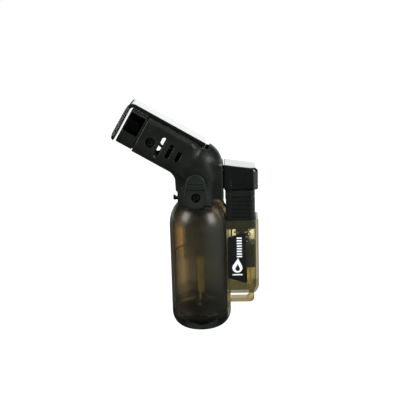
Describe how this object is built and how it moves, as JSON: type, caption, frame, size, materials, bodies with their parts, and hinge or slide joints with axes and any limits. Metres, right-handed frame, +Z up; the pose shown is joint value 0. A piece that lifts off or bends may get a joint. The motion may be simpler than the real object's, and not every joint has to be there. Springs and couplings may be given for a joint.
{
  "type": "butane torch",
  "caption": "Pocket refillable butane jet torch with an angled nozzle, a lift-up nozzle cap, a rear thumb trigger over a piezo igniter and a smoky fuel tank.",
  "frame": {"origin": "middle of the torch's outer box, on the surface it stands on; the tank's axis is 5.5 mm along +X from it", "axes": "+Z up, the nozzle points up towards -X, the trigger and its column are at +X, the flame lock is on the -Y side"},
  "size_m": [0.0654, 0.0276, 0.1063],
  "materials": {
    "smoky_plastic": "translucent smoky brown moulded plastic, semi-gloss",
    "casing_plastic": "fine satin texture",
    "gloss_black": "polished",
    "ribbed_black": "semi-gloss, ribbed",
    "brass": "turned",
    "steel": "plated",
    "black_steel": "black oxide",
    "rubber": "matte",
    "yellow_plastic": "translucent yellow acetal",
    "ceramic": "porous sintered disc",
    "label": null
  },
  "bodies": {
    "root": {"tank_body": "smoky_plastic", "tank_base": "smoky_plastic", "fill_valve_body": "brass", "fill_valve_seal": "rubber", "fill_valve_spring": "steel", "fill_riser": "yellow_plastic", "valve_body": "brass", "valve_filter": "ceramic", "valve_seal": "rubber", "valve_spring": "steel", "casing_left": "casing_plastic", "casing_right": "casing_plastic", "front_screw": "steel", "nozzle_shroud": "casing_plastic", "nozzle_guard": "black_steel", "burner_ring": "steel", "burner_core": "brass", "jet_tube": "brass", "gas_hose": "rubber", "electrode": "steel", "ignition_lead": "rubber", "piezo_body": "ribbed_black", "piezo_terminal": "brass", "trigger_spring": "steel", "label_plate": "label", "cap_hinge_pin": "steel", "cap_spring": "steel", "gas_lever_pin": "steel"},
    "trigger": {"trigger_cap": "gloss_black", "trigger_sleeve": "ribbed_black", "trigger_fork": "ribbed_black", "piezo_plunger": "casing_plastic"},
    "nozzle_cap": {"cap_lever": "gloss_black"},
    "gas_lever": {"gas_lever": "casing_plastic"},
    "valve_stem": {"valve_stem": "brass"},
    "flame_adjuster": {"flame_adjuster": "gloss_black"},
    "flame_lock": {"flame_lock_lever": "casing_plastic", "flame_lock_cam": "ribbed_black", "lock_pivot_screw": "steel"},
    "fill_stem": {"fill_valve_stem": "steel"}
  },
  "joints": [
    {"name": "trigger_slide", "type": "slide", "parent": "root", "child": "trigger", "axis": [0, 0, -1], "range_m": [0, 0.005], "stiffness_N_per_m": 1500, "springref_m": -0.004, "deforming": ["trigger_spring"]},
    {"name": "cap_hinge", "type": "hinge", "parent": "root", "child": "nozzle_cap", "pos_m": [0.00829, 0, 0.08552], "axis": [0, 1, 0], "range_deg": [0, 28], "deforming": ["cap_spring"]},
    {"name": "gas_lever_hinge", "type": "hinge", "parent": "root", "child": "gas_lever", "pos_m": [0.0101, 0, 0.068], "axis": [0, 1, 0], "range_deg": [0, 12]},
    {"name": "valve_stem_slide", "type": "slide", "parent": "root", "child": "valve_stem", "axis": [0, 0, 1], "range_m": [0, 0.001], "deforming": ["valve_spring"]},
    {"name": "flame_adjuster_turn", "type": "hinge", "parent": "root", "child": "flame_adjuster", "pos_m": [0.0055, 0, 0.0615], "axis": [0, 0, 1], "range_deg": [-15, 15]},
    {"name": "flame_lock_turn", "type": "hinge", "parent": "root", "child": "flame_lock", "pos_m": [0.00457, -0.0104, 0.0638], "axis": [0, 1, 0], "range_deg": [0, 25]},
    {"name": "fill_stem_slide", "type": "slide", "parent": "root", "child": "fill_stem", "axis": [0, 0, 1], "range_m": [0, 0.0015], "stiffness_N_per_m": 400, "springref_m": -0.0015, "deforming": ["fill_valve_spring"]}
  ],
  "couplings": [
    {"joint": "cap_hinge", "follows": "trigger_slide", "rad_per_m": 97.729},
    {"joint": "gas_lever_hinge", "follows": "trigger_slide", "rad_per_m": 41.884},
    {"joint": "valve_stem_slide", "follows": "trigger_slide", "ratio": 0.1999}
  ]
}
